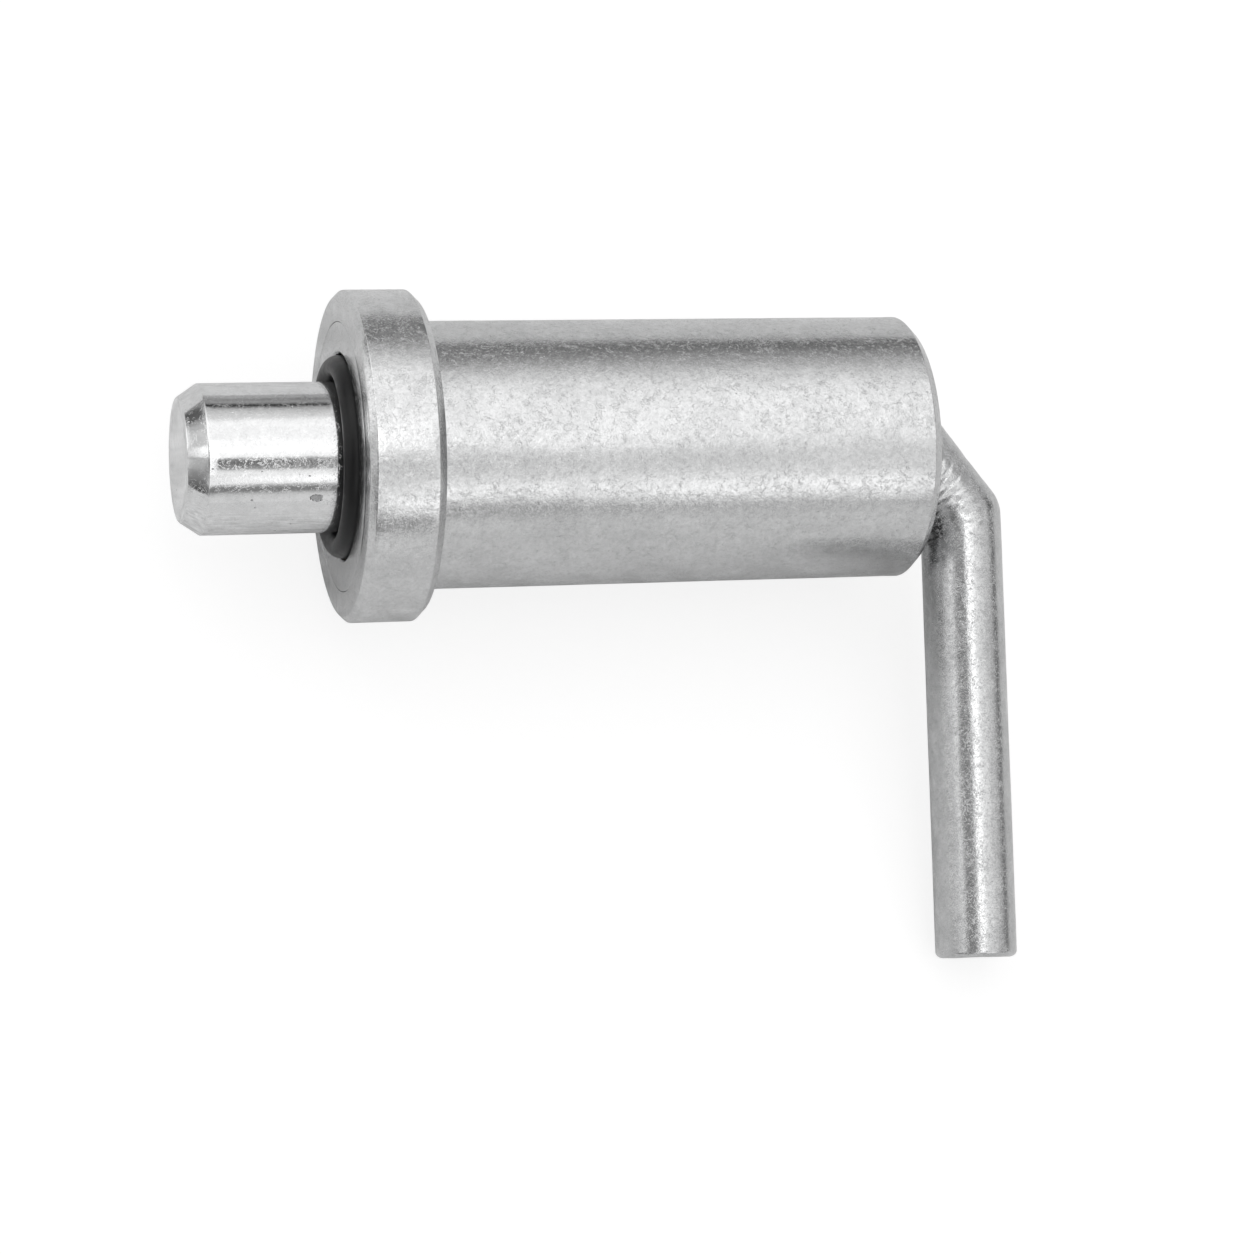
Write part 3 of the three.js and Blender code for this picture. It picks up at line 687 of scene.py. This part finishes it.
BACK, UP = -FWD, -DOWN
LEVEL = 1.2                       # brightness of the whole studio
def studio():
    """A light tent round the lock: a broad key above and behind, a strip in front, darker gaps between
    the panels and along the table's far edge. Directions are fixed in the row frame."""
    w = bpy.data.worlds.new("studio")
    scene.world = w
    w.use_nodes = True
    nt = w.node_tree
    for n in list(nt.nodes): nt.nodes.remove(n)
    out = nt.nodes.new("ShaderNodeOutputWorld")
    bg = nt.nodes.new("ShaderNodeBackground")
    tc = nt.nodes.new("ShaderNodeTexCoord")
    def dot(v):
        n = nt.nodes.new("ShaderNodeVectorMath"); n.operation = "DOT_PRODUCT"
        nt.links.new(tc.outputs["Generated"], n.inputs[0]); n.inputs[1].default_value = tuple(v)
        return n.outputs["Value"]
    def op(o, x, y=None, clamp=False):
        n = nt.nodes.new("ShaderNodeMath"); n.operation = o; n.use_clamp = clamp
        for i, v in enumerate((x, y)):
            if v is None: continue
            if isinstance(v, (int, float)): n.inputs[i].default_value = v
            else: nt.links.new(v, n.inputs[i])
        return n.outputs[0]
    def ramp(x, stops, lo, hi, peak):
        """stops: (degrees, value)."""
        f = op("DIVIDE", op("SUBTRACT", x, lo), hi - lo)
        n = nt.nodes.new("ShaderNodeValToRGB")
        nt.links.new(f, n.inputs[0])
        cr = n.color_ramp
        cr.interpolation = "EASE"
        while len(cr.elements) > 1: cr.elements.remove(cr.elements[-1])
        first = True
        for d, v in stops:
            pos = (d - lo) / (hi - lo)
            e = cr.elements[0] if first else cr.elements.new(pos)
            e.position = pos
            e.color = (v / peak, v / peak, v / peak, 1)
            first = False
        return op("MULTIPLY", n.outputs[0], peak)
    b, u, r = dot(BACK), dot(UP), dot(RIGHT)
    gamma = op("MULTIPLY", op("ARCTAN2", u, b), 180 / math.pi)
    delta = op("MULTIPLY", op("ARCSINE", r), 180 / math.pi)
    E = ramp(gamma, GAMMA_STOPS, -180, 180, 2.0)
    M = ramp(delta, DELTA_STOPS, -90, 90, 2.0)
    def peak(x, mid, half):
        return op("SUBTRACT", 1.0, op("DIVIDE", op("ABSOLUTE", op("SUBTRACT", x, mid)), half), clamp=True)
    def step(x, lo, hi):
        """0 at lo, 1 at hi, smooth between; lo may be the larger."""
        n = nt.nodes.new("ShaderNodeMapRange"); n.interpolation_type = "SMOOTHSTEP"
        nt.links.new(x, n.inputs["Value"])
        a0, a1 = (lo, hi) if lo < hi else (hi, lo)
        n.inputs["From Min"].default_value, n.inputs["From Max"].default_value = a0, a1
        n.inputs["To Min"].default_value, n.inputs["To Max"].default_value = (0.0, 1.0) if lo < hi else (1.0, 0.0)
        return n.outputs[0]
    def times(*v):
        x = v[0]
        for y in v[1:]: x = op("MULTIPLY", x, y)
        return x
    def less(amount, w):                     # 1 - amount * w
        return op("SUBTRACT", 1.0, op("MULTIPLY", w, amount))
    near = peak(gamma, 8.0, 22.0)
    mult = op("ADD", op("MULTIPLY", near, M), op("SUBTRACT", 1.0, near))
    side = ramp(delta, SIDE_STOPS, -90, 90, 2.0)
    # the thin dark joint of the panels overhead, and the paler gap beside it
    joint = times(step(peak(gamma, 87.5, 7.5), 0.0, 1.0), step(delta, 12.2, 10.2), step(delta, -4.0, 1.0))
    gap = times(step(peak(gamma, 108.0, 13.0), 0.0, 1.0), step(delta, 7.0, 4.5), step(delta, -25.0, -10.0))
    # the slot for the lens: darker on one side, paler on the other
    slot = times(step(peak(gamma, -11.0, 15.0), 0.0, 0.8), step(delta, 25.9, 27.3), step(delta, 60.0, 45.0))
    dim = times(step(gamma, 13.0, 20.0), step(gamma, 66.0, 45.0), step(delta, 24.8, 23.4), step(delta, 8.0, 14.0))
    low = times(step(peak(gamma, -49.5, 9.5), 0.0, 1.0), step(delta, 25.0, 27.0), step(delta, 60.0, 45.0))
    dim_low = times(step(gamma, -25.0, -30.0), step(gamma, -62.0, -56.0), step(delta, 24.2, 22.8), step(delta, 5.0, 12.0))
    E = op("MULTIPLY", E, less(0.93, joint))
    E = op("ADD", E, op("ADD", op("MULTIPLY", gap, 0.24), op("ADD", op("MULTIPLY", slot, 0.66), op("MULTIPLY", low, 0.65))))
    shade = times(step(gamma, 57.0, 63.0), step(gamma, 86.0, 82.0), step(delta, 17.0, 15.5), step(delta, 4.0, 8.0))
    E = times(E, less(0.17, dim), less(0.26, dim_low), less(0.24, shade))
    val = op("MULTIPLY", op("MULTIPLY", op("MULTIPLY", E, mult), side), LEVEL)
    def toward(x, value, w):
        return op("ADD", x, op("MULTIPLY", w, op("SUBTRACT", value, x)))
    # grey wall at the upper right, a tall narrow strip light, and the dark foot to its left
    corner = times(step(gamma, 16.0, 24.0), step(gamma, 140.0, 120.0), step(delta, 36.0, 41.0), step(delta, 66.0, 61.0))
    strip = times(step(delta, 2.5, 6.0), step(delta, 23.0, 20.0), step(gamma, -31.0, -24.0), step(gamma, 6.0, 0.0))
    foot = times(step(delta, 0.0, -6.0), step(delta, -40.0, -30.0), step(gamma, -62.0, -50.0), step(gamma, -13.0, -19.0))
    val = toward(toward(toward(val, 0.58, corner), 1.35, strip), 0.34, foot)
    # left-hand wall: bright above, falling to a dark foot
    far = op("MULTIPLY", ramp(gamma, LEFT_FAR, -180, 180, 2.0), op("ADD", 0.4, op("MULTIPLY", step(delta, -85.0, -68.0), 0.6)))
    close = ramp(gamma, LEFT_NEAR, -180, 180, 2.0)
    t = step(delta, -46.0, -53.0)
    left = op("ADD", op("MULTIPLY", far, t), op("MULTIPLY", close, op("SUBTRACT", 1.0, t)))
    w_left = op("MULTIPLY", step(delta, -34.0, -39.0), op("SUBTRACT", 1.0, step(peak(gamma, 8.0, 13.0), 0.0, 0.5)))
    val = op("ADD", op("MULTIPLY", left, w_left), op("MULTIPLY", val, op("SUBTRACT", 1.0, w_left)))
    lp = nt.nodes.new("ShaderNodeLightPath")
    mx = nt.nodes.new("ShaderNodeMix"); mx.data_type = "FLOAT"
    nt.links.new(lp.outputs["Is Camera Ray"], mx.inputs[0])
    nt.links.new(val, mx.inputs[2]); mx.inputs[3].default_value = 0.985
    nt.links.new(mx.outputs[0], bg.inputs["Strength"])
    bg.inputs["Color"].default_value = (1.0, 1.0, 1.0, 1)
    nt.links.new(bg.outputs[0], out.inputs[0])
    w.cycles.sampling_method = "MANUAL"
    w.cycles.sample_map_resolution = 1024
GAMMA_STOPS = [(-179, .48), (-110, .6), (-92, .68), (-78, .68), (-70, .66), (-64, .62), (-59, .54), (-55, .30), (-50, .30), (-46, .6), (-42, 1.25), (-36, 1.25), (-27, .95), (-23, .80), (-18, .30), (-12, .18), (-7, .16), (-3, .34),
               (1, .95), (14, 1.10), (28, 1.20), (50, 1.20), (60, 1.05), (69, .88), (75, .76), (81, .60), (87, .48), (94, .32), (101, .18), (110, .13), (118, .31), (127, .52)]
DELTA_STOPS = [(-89, .45), (-76, .75), (-62, 1.25), (-50, 1.75), (-41, 1.15), (-34, .9), (-30, .3), (-26, .17), (1, .18), (4, .4), (8, 1.9), (20, 1.95), (24, 1.05), (27, 1.05), (42, .90), (55, 1.08), (66, 1.5), (75, 1.15), (89, .9)]
SIDE_STOPS = [(-89, .5), (-50, .42), (-38, 1.0), (45, 1.0), (64, .55), (89, .42)]
LEFT_NEAR = [(-179, .5), (-80, .3), (-71, .15), (-59, .08), (-44, .19), (-30, .3), (-16, .48), (-3, .6), (11, .64), (25, .70), (39, .73), (54, .57), (62, .4), (70, .15), (88, .12), (96, .3), (108, .55), (125, .6), (179, .5)]
LEFT_FAR = [(-179, .5), (-82, .12), (-69, .13), (-56, .19), (-42, .32), (-28, .48), (-14, .73), (1, .87), (15, 1.05), (30, 1.35), (45, 1.38), (59, 1.42), (73, 1.15), (87, .85), (102, .6), (117, .5), (179, .5)]
studio()
scene.view_settings.view_transform = "Standard"
scene.view_settings.look = "None"
